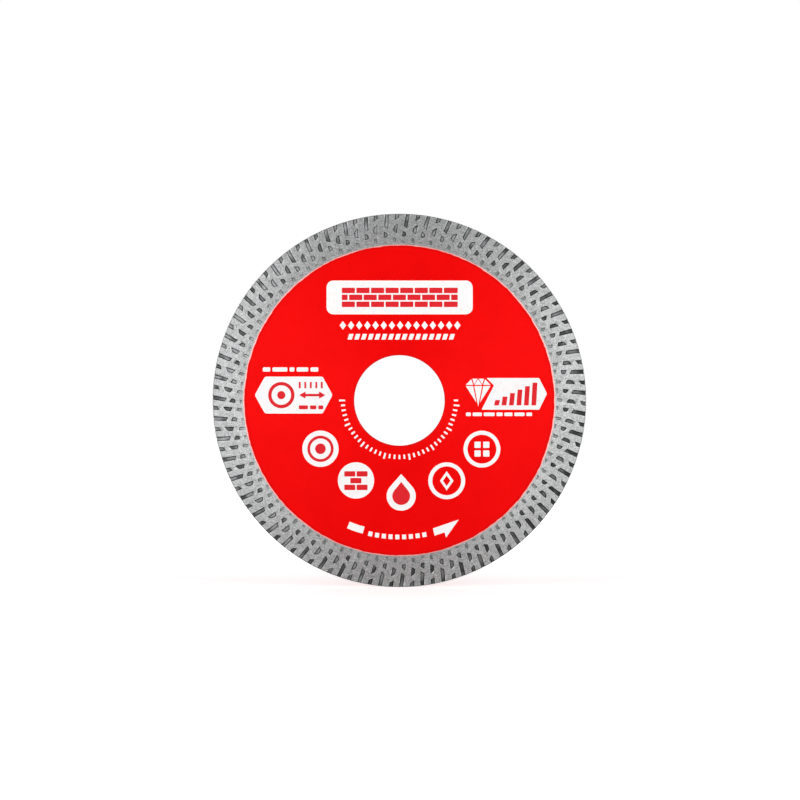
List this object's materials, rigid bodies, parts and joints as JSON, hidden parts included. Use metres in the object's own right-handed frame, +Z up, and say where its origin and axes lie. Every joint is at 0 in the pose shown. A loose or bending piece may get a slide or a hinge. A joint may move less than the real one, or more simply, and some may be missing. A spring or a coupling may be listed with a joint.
{
  "type": "diamond blade",
  "caption": "Continuous-rim diamond cutting disc: bored steel core, sintered rim with mesh-pattern pockets on both faces, printed lacquer faces.",
  "frame": {"origin": "centre of the arbor hole on the middle plane of the disc", "axes": "+Y along the spin axis, away from the printed front face; +Z up on the front print; +X to the right seen from the front"},
  "size_m": [0.105, 0.002, 0.105],
  "materials": {
    "core_steel": "ground steel",
    "sintered_rim": "ground sintered metal with diamond grit",
    "red_lacquer": "satin printed lacquer"
  },
  "bodies": {
    "root": {"steel_core": "core_steel", "diamond_rim": "sintered_rim", "front_coating": "red_lacquer", "back_coating": "red_lacquer"}
  },
  "joints": []
}
